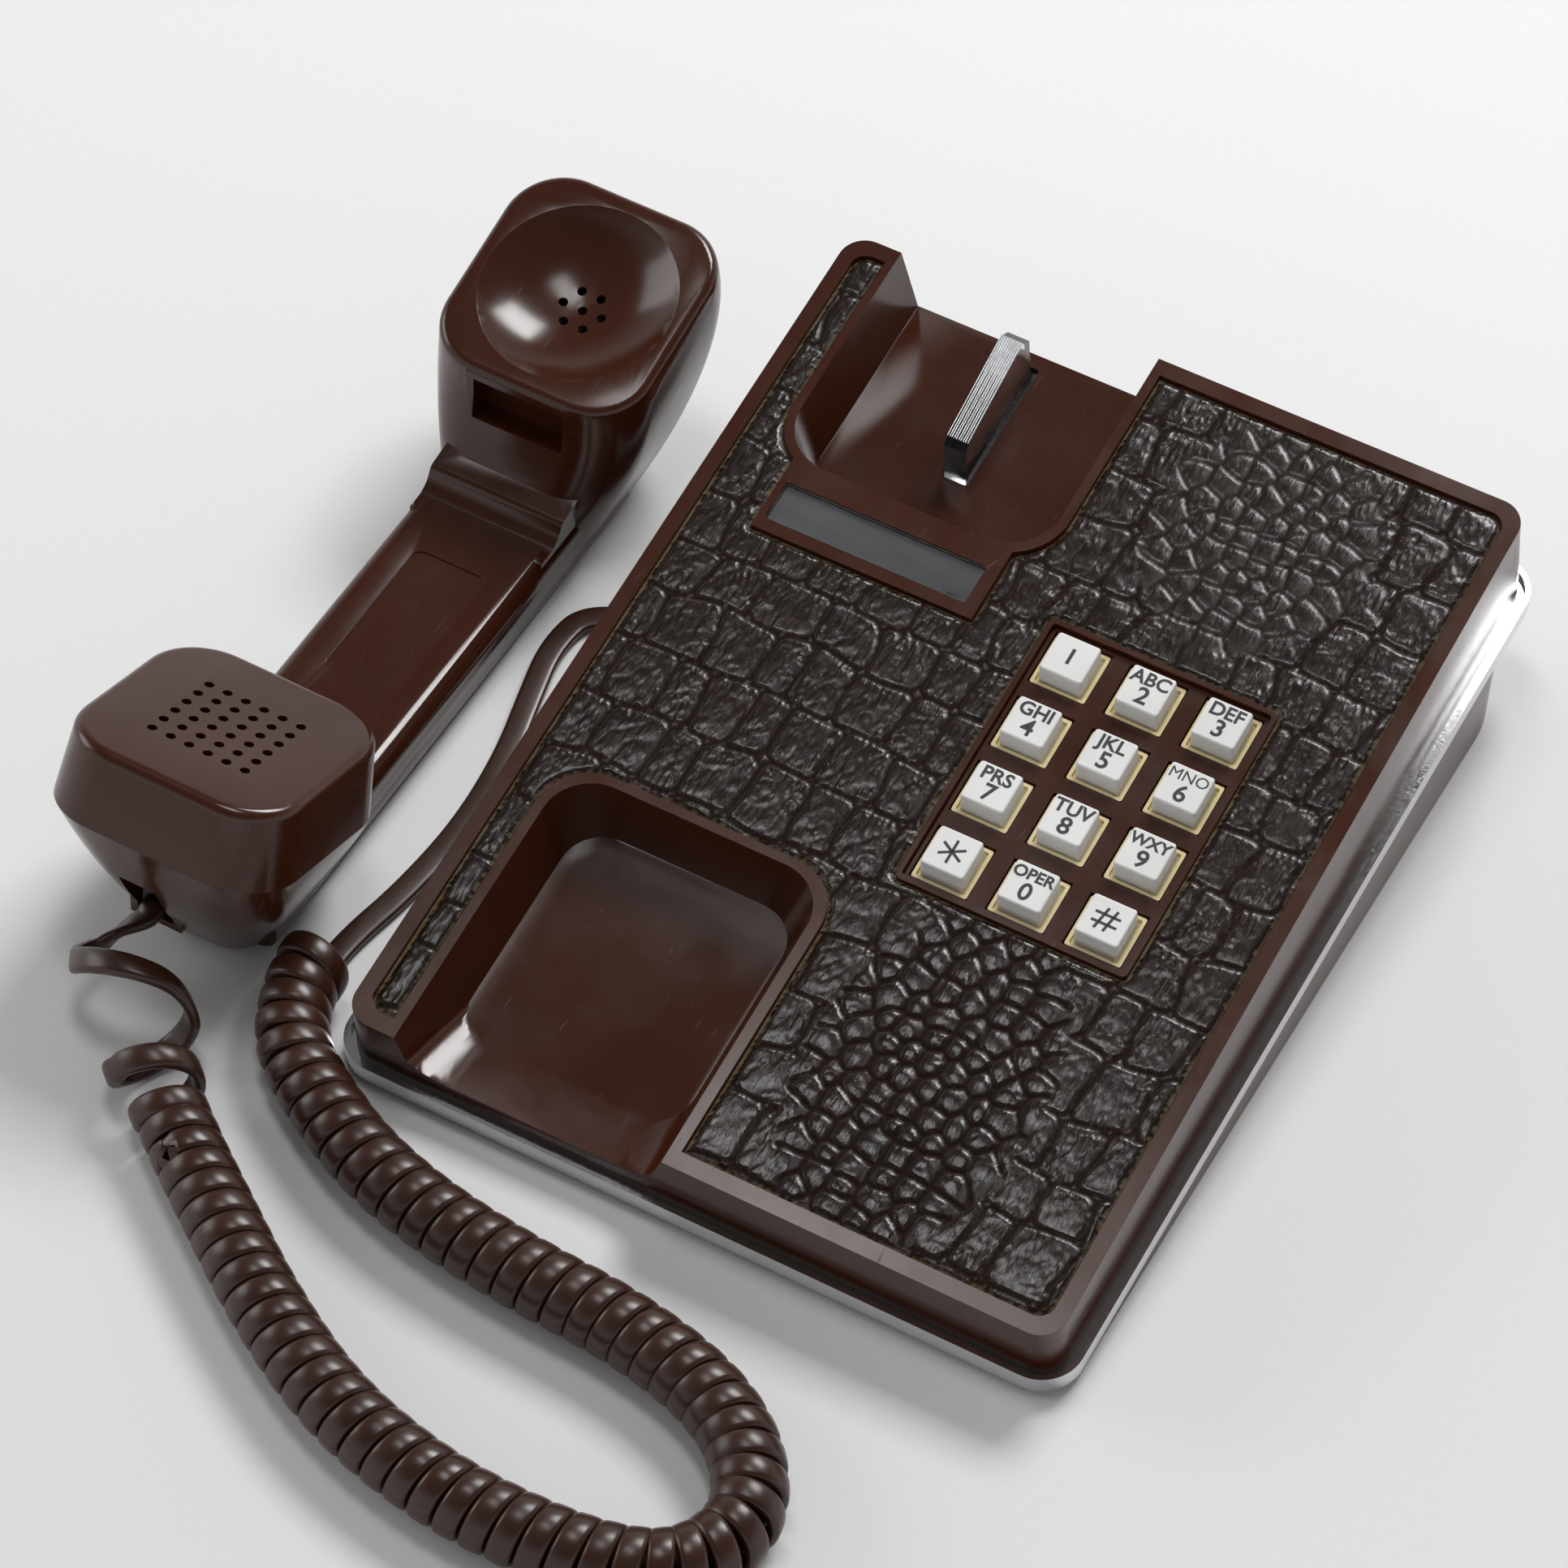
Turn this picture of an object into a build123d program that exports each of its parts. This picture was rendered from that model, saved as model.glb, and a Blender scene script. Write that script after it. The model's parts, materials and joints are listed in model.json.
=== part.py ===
from build123d import *
import os
from math import atan, cos, degrees, hypot, pi, radians, sin, tan

# Slimline telephone: a leather-topped housing on a desk wedge, and its handset off the hook beside it.
# Millimetres. +Z is up from the desk, +Y runs to the rear, and the origin is on the desk face.
#
# Three frames hold every piece:
#   Plane.XY  the desk, for the wedge base and the cords
#   panel     the top face: x from the left rim, y from the front rim, z = 0 on the rim
#   deck      the lower edge of the housing, where the tray and the chassis lie
#   handset   the handset's own axis, on the desk

# ---- driving dimensions ---------------------------------------------------------------------
WIDTH, LENGTH = 175.5, 237.5        # rim of the housing
RIM_R = 6.5                         # plan radius of its corners
TILT = degrees(atan(0.165))         # slope of the top face
FRONT_RISE = 21.5                   # rim above the desk at the front, square to the top face
FRONT_Y = -117.2                    # front rim in the desk frame
DECK_DROP = 16.5                    # side wall at the front
DECK_SLOPE = degrees(atan(0.062))   # the housing's own taper in height
DRAFT = 2.0                         # side walls lean out towards the deck
TOP_T = 3.4                         # top skin
WALL_T = 2.6                        # side skin
LEATHER_DEPTH, LEATHER_T = 1.4, 1.0

WELL_X0, WELL_X1 = 12.5, 81.5       # both wells, at the rim
MOUTH_REAR, MOUTH_FLOOR = 78.5, -15.5
EAR_FRONT, EAR_FLOOR = 174.0, -20.0
WELL_SKIN = 2.2
WELL_BORDER = 1.6                   # plastic edge between a well and the leather

KEY_PITCH = 19.05
KEYPAD_C = (120.0, 124.4)           # centre of the twelve keys
KEY_HOLE, KEY_SKIRT, KEY_CAP = 14.6, 13.8, 11.0
KEY_TOP, SKIRT_TOP, CAP_SEAT = 3.1, -2.0, -3.2
FACE_TOP, FACE_T = -1.5, 1.5        # keypad faceplate
FRAME_BOTTOM = -12.9

TRAY_GAP, TRAY_T = 1.4, 1.2         # gap beside the housing, and sheet thickness
TRAY_UP, TRAY_DOWN = 1.8, 3.1       # tray above and below the deck
CORD_W, COIL_D = 6.0, 17.0          # flat cord's width, and outside of its coil

os.makedirs("parts", exist_ok=True)

panel = Plane(
    origin=(-WIDTH / 2, FRONT_Y, FRONT_RISE * cos(radians(TILT))),
    x_dir=(1, 0, 0),
    z_dir=(0, -sin(radians(TILT)), cos(radians(TILT))),
)
deck_tilt = TILT - DECK_SLOPE
deck = Plane(
    origin=panel.from_local_coords((0, 0, -DECK_DROP)),
    x_dir=(1, 0, 0),
    z_dir=(0, -sin(radians(deck_tilt)), cos(radians(deck_tilt))),
)
HANDSET_YAW = 0.6
handset = Plane(
    origin=(-135.7, 0, 0),
    x_dir=(cos(radians(HANDSET_YAW)), -sin(radians(HANDSET_YAW)), 0),
    z_dir=(0, 0, 1),
)


def save(part, name):
    """Label a finished piece and write it as its own file."""
    part.label = name
    export_step(part, f"parts/{name}.step")


def side_plane(frame, x):
    """A plane across `frame` at x, whose sketch x is the frame's y and whose sketch y is its z."""
    return Plane(origin=frame.from_local_coords((x, 0, 0)), x_dir=frame.y_dir, z_dir=frame.x_dir)


def box_sketch(x0, y0, x1, y1, radius=0.0, mode=Mode.ADD):
    """A rectangle given by its two corners, with rounded corners when a radius is given."""
    with Locations(((x0 + x1) / 2, (y0 + y1) / 2)):
        if radius:
            RectangleRounded(x1 - x0, y1 - y0, radius, mode=mode)
        else:
            Rectangle(x1 - x0, y1 - y0, mode=mode)


def block(frame, z0, z1, x0, y0, x1, y1, radius=0.0, mode=Mode.ADD):
    """A slab on `frame` between two heights, for use inside a BuildPart."""
    with BuildSketch(frame.offset(z0)) as outline:
        box_sketch(x0, y0, x1, y1, radius)
    extrude(outline.sketch, amount=z1 - z0, dir=frame.z_dir, mode=mode)


def posts(frame, z0, z1, radius, places, mode=Mode.ADD):
    """Round posts or holes on `frame` between two heights, for use inside a BuildPart."""
    with BuildSketch(frame.offset(z0)) as circles:
        with Locations(*places):
            Circle(radius)
    extrude(circles.sketch, amount=z1 - z0, dir=frame.z_dir, mode=mode)


def loft_sections(sections, mode=Mode.ADD):
    """Loft through rounded rectangles, each given as (plane, x0, y0, x1, y1, radius)."""
    outlines = []
    for plane, x0, y0, x1, y1, radius in sections:
        with BuildSketch(plane) as outline:
            box_sketch(x0, y0, x1, y1, radius)
        outlines.append(outline.sketch)
    loft(outlines, mode=mode)


# ---- housing --------------------------------------------------------------------------------
SCREW_PLACES = [(8, 8), (WIDTH - 8, 8), (8, 229), (WIDTH - 8, 229)]
PAD_X0, PAD_X1 = KEYPAD_C[0] - 27.5, KEYPAD_C[0] + 27.5
PAD_Y0, PAD_Y1 = KEYPAD_C[1] - 37.1, KEYPAD_C[1] + 37.1
WINDOW = (20.0, 157.0, 72.0, 168.0)
BEZEL = (18.3, 153.8, 75.3, 176.0)
KEY_PLACES = [
    (KEYPAD_C[0] + (col - 1) * KEY_PITCH, KEYPAD_C[1] + (1.5 - row) * KEY_PITCH)
    for row in range(4)
    for col in range(3)
]
LEVER_X, LEVER_W = 47.4, 5.7
LEVER_SLOT = (LEVER_X - 3.55, 197.4, LEVER_X + 3.55, 234.6)


def mouth_well(skin=0.0, mode=Mode.ADD):
    """The mouthpiece well's hollow, or the solid `skin` larger all round that carries its walls."""
    loft_sections([
        (panel.offset(3), WELL_X0 - skin, -44 - skin, WELL_X1 + skin, MOUTH_REAR + skin, 12),
        (panel.offset(MOUTH_FLOOR - skin), 18 - skin, 14 - skin, 74.5 + skin, 74 + skin, 10),
    ], mode)


def ear_well(skin=0.0, mode=Mode.ADD):
    """The receiver well's hollow, open at the rear, or the solid that carries its walls."""
    loft_sections([
        (panel.offset(3), WELL_X0 - skin, EAR_FRONT - skin, WELL_X1 + skin, LENGTH + 40, 14),
        (panel.offset(EAR_FLOOR - skin), 16.5 - skin, 179 - skin, 76 + skin, LENGTH + 40, 10),
    ], mode)


def leather_outline(inset):
    """The inlay's outline: the top face less the wells, the window's bezel and the keypad."""
    edge = 3.7 + inset
    grow = WELL_BORDER + inset
    box_sketch(edge, edge + 0.6, WIDTH - edge, LENGTH - edge - 0.4, 4)
    box_sketch(WELL_X0 - grow, -30, WELL_X1 + grow, MOUTH_REAR + grow, 13, Mode.SUBTRACT)
    box_sketch(WELL_X0 - grow, EAR_FRONT - grow, WELL_X1 + grow, LENGTH + 30, 15, Mode.SUBTRACT)
    box_sketch(BEZEL[0] - inset, BEZEL[1] - inset, BEZEL[2] + inset, BEZEL[3], 0, Mode.SUBTRACT)
    pad = 1.2 + inset
    box_sketch(PAD_X0 - pad, PAD_Y0 - pad, PAD_X1 + pad, PAD_Y1 + pad, 1.5, Mode.SUBTRACT)


SIDE_DEPTH = 45.0
lean = SIDE_DEPTH * tan(radians(DRAFT))
with BuildPart() as cover_hollow:
    with BuildSketch(panel.offset(-SIDE_DEPTH)):
        box_sketch(WALL_T - lean, WALL_T - lean, WIDTH - WALL_T + lean, LENGTH - WALL_T + lean, 6)
    extrude(amount=SIDE_DEPTH - TOP_T, taper=DRAFT)
    mouth_well(WELL_SKIN, Mode.SUBTRACT)
    ear_well(WELL_SKIN, Mode.SUBTRACT)
    posts(deck, -5, 40, 4.2, SCREW_PLACES, Mode.SUBTRACT)

with BuildPart() as housing_cover:
    with BuildSketch(panel.offset(-SIDE_DEPTH)):
        box_sketch(-lean, -lean, WIDTH + lean, LENGTH + lean, RIM_R + lean)
    extrude(amount=SIDE_DEPTH, taper=DRAFT)
    split(bisect_by=deck, keep=Keep.TOP)
    add(cover_hollow.part, mode=Mode.SUBTRACT)
    mouth_well(mode=Mode.SUBTRACT)
    ear_well(mode=Mode.SUBTRACT)
    with BuildSketch(panel.offset(-LEATHER_DEPTH)) as inlay_pocket:
        leather_outline(0)
    extrude(inlay_pocket.sketch, amount=LEATHER_DEPTH + 1, dir=panel.z_dir, mode=Mode.SUBTRACT)
    block(panel, -TOP_T - 1, 1, PAD_X0, PAD_Y0, PAD_X1, PAD_Y1, 1.0, Mode.SUBTRACT)
    block(panel, -2.2, 1, *WINDOW, 1.0, Mode.SUBTRACT)
    block(panel, EAR_FLOOR - 8, EAR_FLOOR + 2, *LEVER_SLOT, 1.0, Mode.SUBTRACT)
    posts(deck, -1, 11, 1.6, SCREW_PLACES, Mode.SUBTRACT)
save(housing_cover.part, "housing_cover")

with BuildPart() as leather_panel:
    with BuildSketch(panel.offset(-LEATHER_DEPTH)):
        leather_outline(0.15)
    extrude(amount=LEATHER_T)
save(leather_panel.part, "leather_panel")

with BuildPart() as number_card:
    block(panel, -2.2, -1.9, WINDOW[0] + 0.3, WINDOW[1] + 0.3, WINDOW[2] - 0.3, WINDOW[3] - 0.3, 0.8)
save(number_card.part, "number_card")

with BuildPart() as card_window:
    block(panel, -1.9, -0.5, WINDOW[0] + 0.1, WINDOW[1] + 0.1, WINDOW[2] - 0.1, WINDOW[3] - 0.1, 0.9)
    block(panel, -2.2, 1, WINDOW[2] - 5, WINDOW[1] - 1, WINDOW[2] - 3, WINDOW[1] + 1.4, 0, Mode.SUBTRACT)
save(card_window.part, "card_window")


# ---- tray, chassis and wedge ----------------------------------------------------------------
TRAY = (-0.9 - TRAY_GAP - TRAY_T, -0.9 - TRAY_GAP - TRAY_T, WIDTH + 3.5, 242.6)   # outer edge, deck frame
TRAY_R = 10.0
LEDGE = 18.0                        # width of the tray's turned-in ledge
with BuildPart() as chrome_tray:
    block(deck, -TRAY_DOWN, TRAY_UP, *TRAY, TRAY_R)
    inner = (TRAY[0] + TRAY_T, TRAY[1] + TRAY_T, TRAY[2] - TRAY_T, TRAY[3] - TRAY_T)
    block(deck, 0, TRAY_UP + 1, *inner, TRAY_R - TRAY_T, Mode.SUBTRACT)
    block(deck, -TRAY_DOWN - 1, -TRAY_T, *inner, TRAY_R - TRAY_T, Mode.SUBTRACT)
    block(deck, -2, 1, TRAY[0] + LEDGE, TRAY[1] + LEDGE, TRAY[2] - LEDGE, TRAY[3] - LEDGE, 4, Mode.SUBTRACT)
    posts(deck, -2, 1, 1.8, SCREW_PLACES, Mode.SUBTRACT)
    block(deck, -2, 1, 36, 190, 60, 232, 0, Mode.SUBTRACT)
save(chrome_tray.part, "chrome_tray")

with BuildPart() as chassis_plate:
    block(deck, -TRAY_DOWN, -TRAY_T, 1, 2, WIDTH - 1, 237, 6)
    posts(deck, -5, 1, 1.8, SCREW_PLACES, Mode.SUBTRACT)
    block(deck, -5, 1, 38, 197, 57, 236, 2, Mode.SUBTRACT)
save(chassis_plate.part, "chassis_plate")

BASE_X = WIDTH / 2 + 2.9            # half width of the wedge, flush under the tray
BASE_FRONT, BASE_REAR = -112.0, 124.6
BASE_WALL, BASE_FLOOR = 2.5, 1.6
JACK_Y, JACK_Z = 30.0, 8.6          # handset cord's socket, in the left wall
LINE_X, LINE_Z = 34.0, 12.0         # line socket, in the rear wall
KEYHOLE_SPACING = 82.55             # two wall studs
FOOT_PLACES = [(sx * 68, y) for sx in (-1, 1) for y in (-94, 96)]
post_places = [
    (deck.from_local_coords((x, y, 0)).X, deck.from_local_coords((x, y, 0)).Y) for x, y in SCREW_PLACES
]


def wedge_outline(inset):
    """Plan of the wedge: small radii at the front, and broad ones at the rear."""
    box_sketch(-BASE_X + inset, BASE_FRONT + inset, BASE_X - inset, BASE_REAR - inset, 26 - inset)
    box_sketch(-BASE_X + inset, BASE_FRONT + inset, BASE_X - inset, 0, 7 - inset)


with BuildPart() as wedge_base:
    with BuildSketch(Plane.XY):
        wedge_outline(0)
    extrude(amount=60)
    with BuildSketch(Plane.XY.offset(BASE_FLOOR)):
        wedge_outline(BASE_WALL)
    extrude(amount=60, mode=Mode.SUBTRACT)
    posts(Plane.XY, 0, 60, 5.4, post_places)
    posts(Plane.XY, -1, 61, 3.6, post_places, Mode.SUBTRACT)
    split(bisect_by=deck.offset(-TRAY_DOWN), keep=Keep.BOTTOM)
    posts(Plane.XY, -1, 1.0, 6.1, FOOT_PLACES, Mode.SUBTRACT)
    for y in (-KEYHOLE_SPACING / 2, KEYHOLE_SPACING / 2):
        posts(Plane.XY, -1, 3, 5.0, [(0, y)], Mode.SUBTRACT)
        block(Plane.XY, -1, 3, -2.3, y, 2.3, y + 12, 0, Mode.SUBTRACT)
    block(Plane.XY, JACK_Z - 3.9, JACK_Z + 3.5, -BASE_X - 5, JACK_Y - 4.3, -BASE_X + 5, JACK_Y + 4.3,
          0, Mode.SUBTRACT)
    block(Plane.XY, LINE_Z - 3.6, LINE_Z + 3.6, LINE_X - 5.2, BASE_REAR - 5, LINE_X + 5.2, BASE_REAR + 5,
          0, Mode.SUBTRACT)
save(wedge_base.part, "wedge_base")

with BuildPart() as base_feet:
    posts(Plane.XY, 0, 1.0, 6.0, FOOT_PLACES)
save(base_feet.part, "base_feet")

GONG_R, GONG_Y = 19.0, 205.0        # the ringer's gongs, in the deck frame
GONG_X = (108.0, 152.0)
GONG_Z0, GONG_Z1 = 9.0, 18.0
with BuildPart() as screws:
    posts(deck, -TRAY_DOWN - 2.0, -TRAY_DOWN, 3.1, SCREW_PLACES)
    posts(deck, -TRAY_DOWN, 9, 1.6, SCREW_PLACES)
    posts(deck, GONG_Z1, GONG_Z1 + 1.6, 3.2, [(x, GONG_Y) for x in GONG_X])
save(screws.part, "screws")

# Socket bodies, with their mouths in the wedge's walls.
left_wall = -BASE_X + BASE_WALL
with BuildPart() as handset_cord_jack:
    block(Plane.XY, BASE_FLOOR, JACK_Z + 5.2, left_wall, JACK_Y - 6.5, left_wall + 12, JACK_Y + 6.5)
    block(Plane.XY, JACK_Z - 3.5, JACK_Z + 3.1, left_wall - 1, JACK_Y - 3.95, left_wall + 10, JACK_Y + 3.95,
          0, Mode.SUBTRACT)
save(handset_cord_jack.part, "handset_cord_jack")

rear_wall = BASE_REAR - BASE_WALL
with BuildPart() as line_jack:
    block(Plane.XY, BASE_FLOOR, LINE_Z + 6, LINE_X - 8, rear_wall - 14, LINE_X + 8, rear_wall)
    block(Plane.XY, LINE_Z - 3.3, LINE_Z + 3.3, LINE_X - 4.9, rear_wall - 12, LINE_X + 4.9, rear_wall + 1,
          0, Mode.SUBTRACT)
save(line_jack.part, "line_jack")


# ---- keypad ---------------------------------------------------------------------------------
def key_holes(size, z0, z1):
    """Twelve square holes through a keypad layer."""
    with BuildSketch(panel.offset(z0)) as holes:
        with Locations(*KEY_PLACES):
            Rectangle(size, size)
    extrude(holes.sketch, amount=z1 - z0, dir=panel.z_dir, mode=Mode.SUBTRACT)


with BuildPart() as keypad_faceplate:
    block(panel, FACE_TOP - FACE_T, FACE_TOP, PAD_X0 + 0.15, PAD_Y0 + 0.15, PAD_X1 - 0.15, PAD_Y1 - 0.15, 0.9)
    key_holes(KEY_HOLE, -10, 5)
save(keypad_faceplate.part, "keypad_faceplate")

with BuildPart() as keypad_frame:
    block(panel, FRAME_BOTTOM, FACE_TOP - FACE_T, PAD_X0 + 0.3, PAD_Y0 + 0.3, PAD_X1 - 0.3, PAD_Y1 - 0.3, 0.8)
    block(panel, FRAME_BOTTOM, -TOP_T - 0.1, PAD_X0 - 3, PAD_Y0 - 3, PAD_X1 + 3, PAD_Y1 + 3, 2)
    key_holes(KEY_HOLE, FRAME_BOTTOM - 1, 5)
save(keypad_frame.part, "keypad_frame")

with BuildPart() as keypad_mat:
    block(panel, FRAME_BOTTOM - 1, FRAME_BOTTOM, PAD_X0, PAD_Y0, PAD_X1, PAD_Y1, 2)
save(keypad_mat.part, "keypad_mat")

with BuildPart() as keypad_board:
    block(panel, FRAME_BOTTOM - 2.6, FRAME_BOTTOM - 1, PAD_X0 - 3, PAD_Y0 - 3, PAD_X1 + 3, PAD_Y1 + 3, 2)
save(keypad_board.part, "keypad_board")

KEY_NAMES = ["1", "2", "3", "4", "5", "6", "7", "8", "9", "star", "0", "hash"]
for key_name, (kx, ky) in zip(KEY_NAMES, KEY_PLACES):
    half = KEY_SKIRT / 2
    with BuildPart() as key_body:
        block(panel, -6, SKIRT_TOP, kx - half, ky - half, kx + half, ky + half, 0.5)
        block(panel, CAP_SEAT, SKIRT_TOP + 1, kx - 6.1, ky - 6.1, kx + 6.1, ky + 6.1, 0.5, Mode.SUBTRACT)
        block(panel, -9.2, -6, kx - 3, ky - 3, kx + 3, ky + 3, 0.5)
    save(key_body.part, f"key_body_{key_name}")
    half = KEY_CAP / 2
    with BuildPart() as key_cap:
        loft_sections([
            (panel.offset(CAP_SEAT), kx - half, ky - half, kx + half, ky + half, 0.8),
            (panel.offset(KEY_TOP), kx - half + 0.2, ky - half + 0.2, kx + half - 0.2, ky + half - 0.2, 0.8),
        ])
        top_face = key_cap.faces().sort_by(Axis(panel.origin, panel.z_dir))[-1]
        fillet(top_face.edges(), 0.5)
    save(key_cap.part, f"key_cap_{key_name}")


# ---- hook switch ----------------------------------------------------------------------------
PIVOT_Y, PIVOT_Z, PIN_R = 190.2, -25.4, 1.5
lever_side = side_plane(panel, LEVER_X - LEVER_W / 2)
with BuildPart() as hook_lever:
    with BuildSketch(lever_side):
        with BuildLine():
            Polyline(
                (186.8, -28.3), (186.8, -23.4), (198.2, -23.4), (198.6, -8.6), (200.4, -7.4),
                (227.9, -1.7), (230.9, -4.0), (231.6, -25.0), (200.0, -28.3), close=True,
            )
        make_face()
        with Locations((PIVOT_Y, PIVOT_Z)):
            Circle(PIN_R + 0.06, mode=Mode.SUBTRACT)
    extrude(amount=LEVER_W)
save(hook_lever.part, "hook_lever")

slope = (227.9 - 200.4, -1.7 + 7.4)
slope_len = hypot(*slope)
with BuildPart() as hook_lever_plate:
    with BuildSketch(lever_side):
        with BuildLine():
            ux, uz = slope[0] / slope_len, slope[1] / slope_len
            Polyline(
                (200.4, -7.4), (227.9, -1.7), (227.9 - 0.7 * uz, -1.7 + 0.7 * ux),
                (200.4 - 0.7 * uz, -7.4 + 0.7 * ux), close=True,
            )
        make_face()
    extrude(amount=LEVER_W)
save(hook_lever_plate.part, "hook_lever_plate")

with BuildPart() as hook_bracket:
    for cheek_x in (LEVER_X - 5.2, LEVER_X + 3.6):
        with BuildSketch(side_plane(panel, cheek_x)):
            box_sketch(185.5, -28.9, 196.5, -22.6)
            with Locations((PIVOT_Y, PIVOT_Z)):
                Circle(PIN_R + 0.02, mode=Mode.SUBTRACT)
        extrude(amount=1.6)
    with BuildSketch(side_plane(panel, LEVER_X - 5.2)):
        box_sketch(181.5, -28.9, 185.5, -27.4)
    extrude(amount=10.4)
save(hook_bracket.part, "hook_bracket")

with BuildPart() as hook_pin:
    with BuildSketch(side_plane(panel, LEVER_X - 6)):
        with Locations((PIVOT_Y, PIVOT_Z)):
            Circle(PIN_R)
    extrude(amount=12)
save(hook_pin.part, "hook_pin")

with BuildPart() as hook_contacts:
    for leaf in range(4):
        block(deck, -TRAY_T + 0.2 + leaf * 1.6, -TRAY_T + 0.7 + leaf * 1.6, 60, 178, 66, 216)
    block(deck, -TRAY_T, -TRAY_T + 6.4, 59, 174, 67, 186)
save(hook_contacts.part, "hook_contacts")


# ---- network and ringer ---------------------------------------------------------------------
with BuildPart() as network_block:
    block(deck, -TRAY_T, 8, 18, 88, 76, 146, 2)
    with Locations(Location(deck.from_local_coords((47, 117, 8)), (deck_tilt, 0, 0))):
        with GridLocations(9, 44, 6, 2):
            CounterBoreHole(radius=1.4, counter_bore_radius=2.6, counter_bore_depth=0.8, depth=5)
save(network_block.part, "network_block")

with BuildPart() as ringer_frame:
    block(deck, 0, 1.6, 92, 164, 164, 221, 3)
    posts(deck, -TRAY_T, 0, 3, [(98, 172), (98, 214), (156, 172)])
    posts(deck, 1.6, GONG_Z1 - 1.2, 2.5, [(x, GONG_Y) for x in GONG_X])
    posts(deck, 1.6, 6, 1.4, [(130, 184)])
save(ringer_frame.part, "ringer_frame")

for gong_name, gong_x, radius in (("gong_high", GONG_X[0], GONG_R), ("gong_low", GONG_X[1], GONG_R)):
    with BuildPart() as gong:
        with BuildSketch(Plane(origin=deck.from_local_coords((gong_x, GONG_Y, 0)), x_dir=deck.x_dir,
                               z_dir=-deck.y_dir)):
            with BuildLine():
                Polyline((0, GONG_Z1 - 1.2), (radius - 5, GONG_Z1 - 1.2), (radius - 1.2, GONG_Z0),
                         (radius, GONG_Z0), (radius - 4, GONG_Z1), (0, GONG_Z1), close=True)
            make_face()
        revolve(axis=Axis(deck.from_local_coords((gong_x, GONG_Y, 0)), deck.z_dir))
    save(gong.part, gong_name)

with BuildPart() as ringer_coil:
    block(deck, 1.6, 13, 110, 166, 150, 178, 2)
save(ringer_coil.part, "ringer_coil")

CLAPPER_PIVOT = (130.0, 184.0)
with BuildPart() as clapper:
    posts(deck, 6.3, 9.3, 3.4, [CLAPPER_PIVOT])
    block(deck, 6.9, 8.7, 129.2, 184, 130.8, 207)
    with Locations(deck.from_local_coords((130, 208, 9.6))):
        Sphere(2.0)
save(clapper.part, "clapper")


# ---- handset --------------------------------------------------------------------------------
# Across: x. Along: y, mouthpiece at the front. It lies on its back, with both faces up.
MOUTH_TILT, EAR_TILT = 20.0, 15.0   # each face turns towards the other
MOUTH_FACE = (-83.6, 55.0)          # y and z of the face's centre
EAR_FACE = (69.0, 57.6)
CAP_H = 19.5                        # mouthpiece cap, square to its face
HANDLE_W, HANDLE_H = 38.0, 17.5


def face_plane(y, z, angle):
    """A plane across the handset at (y, z), leaning by `angle` so its normal turns towards +y."""
    tilted_y = (handset.y_dir * cos(radians(angle))) - Vector(0, 0, 1) * sin(radians(angle))
    return Plane(origin=handset.from_local_coords((0, y, z)), x_dir=handset.x_dir,
                 z_dir=handset.x_dir.cross(tilted_y))


mouth = face_plane(*MOUTH_FACE, MOUTH_TILT)
ear = face_plane(*EAR_FACE, -EAR_TILT)


def centred(plane, width, y0, y1, radius):
    """A loft section that is symmetrical across the handset."""
    return (plane, -width / 2, y0, width / 2, y1, radius)


def mouth_bowl(skin=0.0, mode=Mode.ADD):
    """The body under the mouthpiece cap, or its hollow when `skin` is the wall."""
    top = mouth.offset(-CAP_H)
    loft_sections([
        centred(top, 60.4 - 2 * skin, -29.5 + skin, 29.0 - skin, 15 - skin),
        centred(face_plane(-86, 18, 7), 48 - 2 * skin, -25.5 + skin, 27 - skin, 15 - skin),
        centred(handset.offset(skin), 30 - 2 * skin, -101 + skin, -60 - skin, 10 - skin / 2),
    ], mode)


def ear_block(skin=0.0, mode=Mode.ADD):
    """The block that carries the receiver, or its hollow when `skin` is the wall."""
    loft_sections([
        centred(ear.offset(-3 * skin), 55.4 - 2 * skin, -28.4 + skin, 28.4 - skin, 15 - skin),
        centred(face_plane(67.5, 30, -9), 52.5 - 2 * skin, -30 + skin, 29 - skin, 15 - skin),
        centred(handset.offset(14), 44 - 2 * skin, 33.5 + skin, 86 - skin, 14 - skin),
        centred(handset.offset(skin), 32 - 2 * skin, 32.5 + skin, 66 - skin, 9 - skin),
    ], mode)


SHELL_T = 2.4
EAR_SKIN = 3.0
DISH_R, DISH_DEPTH = 38.5, 8.4      # the ear's hollow is part of a sphere
SLOT_HALF, SLOT_Z0, SLOT_Z1, SLOT_BACK = 12.1, 34.5, 46.5, 46.5
CORD_X = -5.6                       # the cord's socket is left of the middle
SOCKET_HALF, SOCKET_Z0, SOCKET_Z1, SOCKET_BACK = 4.75, 10.0, 28.0, -97.0


def hole_ring(plane, z0, z1, radius, ring):
    """A centre hole and six round it, for use inside a BuildPart."""
    with BuildSketch(plane.offset(z0)) as holes:
        with PolarLocations(ring, 6):
            Circle(radius)
        Circle(radius)
    extrude(holes.sketch, amount=z1 - z0, dir=plane.z_dir, mode=Mode.SUBTRACT)


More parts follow.
